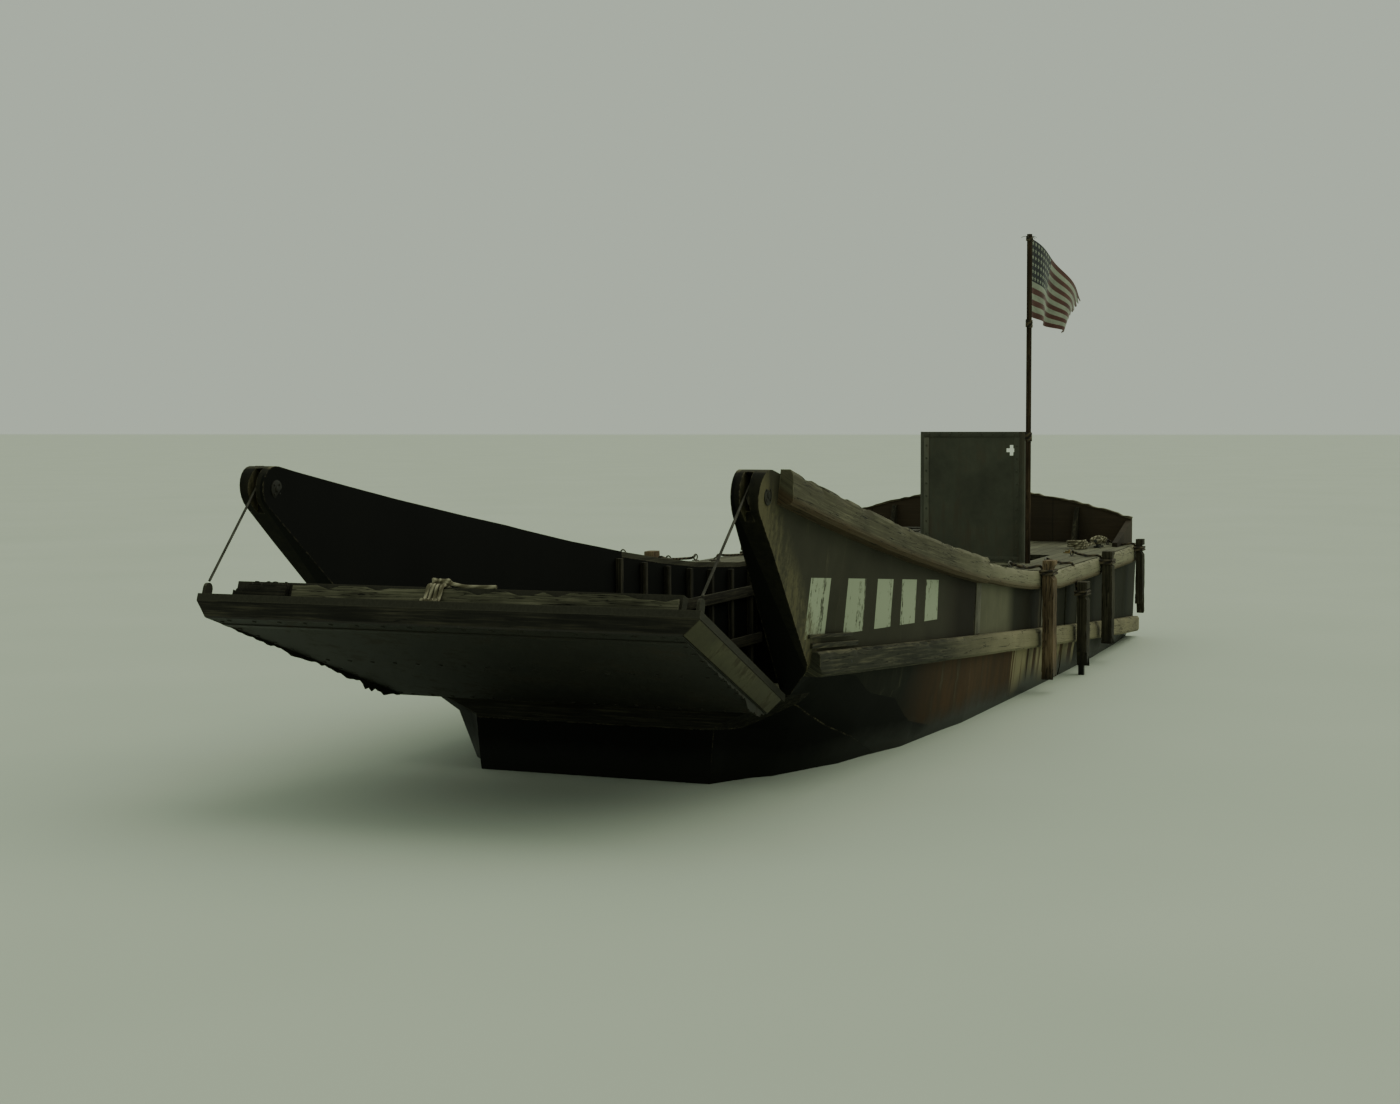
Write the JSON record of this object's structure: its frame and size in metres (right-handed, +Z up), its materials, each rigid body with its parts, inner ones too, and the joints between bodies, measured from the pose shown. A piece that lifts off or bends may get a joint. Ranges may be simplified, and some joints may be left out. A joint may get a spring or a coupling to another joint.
{
  "type": "ramped landing craft",
  "caption": "Full-size wooden landing craft afloat, with a partly lowered bow ramp, open load space, steel helm shield, rubbing timbers, hanging fenders and a flag.",
  "frame": {"origin": "on the centreline, amidships, at the waterline", "axes": "+X forward to the bow ramp, +Y to port, +Z up"},
  "size_m": [11.4205, 3.552, 4.65],
  "materials": {
    "hull_paint": "dark olive-black paint over plywood and planks, chafed and streaked",
    "guard_timber": "worn oak rubbing timber, paint mostly gone",
    "deck_planks": "weathered grey planks",
    "steel_plate": "dark painted steel plate, semi-matt",
    "bare_steel": "worn bare steel and wire rope",
    "bronze": "cast bronze, dulled by the sea",
    "engine_grey": "grey engine paint",
    "flag_cloth": "weathered woven bunting, striped, with a starred canton"
  },
  "bodies": {
    "hull": {"hull_bottom": "hull_paint", "hull_aft": "hull_paint", "side_wall_port": "hull_paint", "side_wall_starboard": "hull_paint", "bow_wing_port": "hull_paint", "bow_wing_starboard": "hull_paint", "bulkhead": "hull_paint", "transom": "hull_paint", "stern_coaming": "hull_paint", "engine_coaming": "hull_paint", "skeg": "hull_paint", "guard_upper_fore_port": "guard_timber", "guard_upper_fore_starboard": "guard_timber", "guard_upper_aft_port": "guard_timber", "guard_upper_aft_starboard": "guard_timber", "guard_lower_port": "guard_timber", "guard_lower_starboard": "guard_timber", "guard_stern": "guard_timber", "headlog": "guard_timber", "flagstaff": "guard_timber", "towing_bitt": "guard_timber", "fender_1_port": "guard_timber", "fender_1_starboard": "guard_timber", "fender_2_port": "guard_timber", "fender_2_starboard": "guard_timber", "fender_3_port": "guard_timber", "fender_3_starboard": "guard_timber", "fender_4_port": "guard_timber", "fender_4_starboard": "guard_timber", "load_floor": "deck_planks", "deck": "deck_planks", "covering_board_port": "deck_planks", "covering_board_starboard": "deck_planks", "shield": "steel_plate", "helm_column": "steel_plate", "ramp_winch": "steel_plate", "quarter_cleat_port": "steel_plate", "quarter_cleat_starboard": "steel_plate", "ramp_hinge_pin": "bare_steel", "sheave_port": "bare_steel", "sheave_starboard": "bare_steel", "ramp_cable_port": "bare_steel", "ramp_cable_starboard": "bare_steel", "engine": "engine_grey", "flag": "flag_cloth"},
    "ramp": {"ramp_panel": "deck_planks", "ramp_frame": "guard_timber", "ramp_plate": "steel_plate"},
    "rudder": {"rudder": "steel_plate"},
    "propeller": {"propeller": "bronze", "propeller_shaft": "bronze"},
    "helm_wheel": {"helm_wheel": "steel_plate"},
    "engine_lid_port": {"engine_lid_port": "hull_paint"},
    "engine_lid_starboard": {"engine_lid_starboard": "hull_paint"}
  },
  "joints": [
    {"name": "ramp_hinge", "type": "hinge", "parent": "hull", "child": "ramp", "pos_m": [4.05, 0, 0.57], "axis": [0, -1, 0], "range_deg": [-55, 21.6], "deforming": ["ramp_cable_port", "ramp_cable_starboard"]},
    {"name": "rudder_turn", "type": "hinge", "parent": "hull", "child": "rudder", "pos_m": [-5.11, 0, -0.6], "axis": [0, 0, 1], "range_deg": [-35, 35]},
    {"name": "helm_turn", "type": "hinge", "parent": "hull", "child": "helm_wheel", "pos_m": [-2.52, 0.865, 1.23], "axis": [1, 0, 0], "range_deg": [-425, 425]},
    {"name": "propeller_turn", "type": "hinge", "parent": "hull", "child": "propeller", "pos_m": [-4.7, 0, -0.56], "axis": [0.9744, 0, 0.225], "continuous": true},
    {"name": "engine_lid_port_hinge", "type": "hinge", "parent": "hull", "child": "engine_lid_port", "pos_m": [-3.05, 0.539, 1.103], "axis": [-1, 0, 0], "range_deg": [0, 100]},
    {"name": "engine_lid_starboard_hinge", "type": "hinge", "parent": "hull", "child": "engine_lid_starboard", "pos_m": [-3.05, -0.539, 1.103], "axis": [1, 0, 0], "range_deg": [0, 100]}
  ],
  "couplings": [
    {"joint": "helm_turn", "follows": "rudder_turn", "ratio": 12}
  ]
}
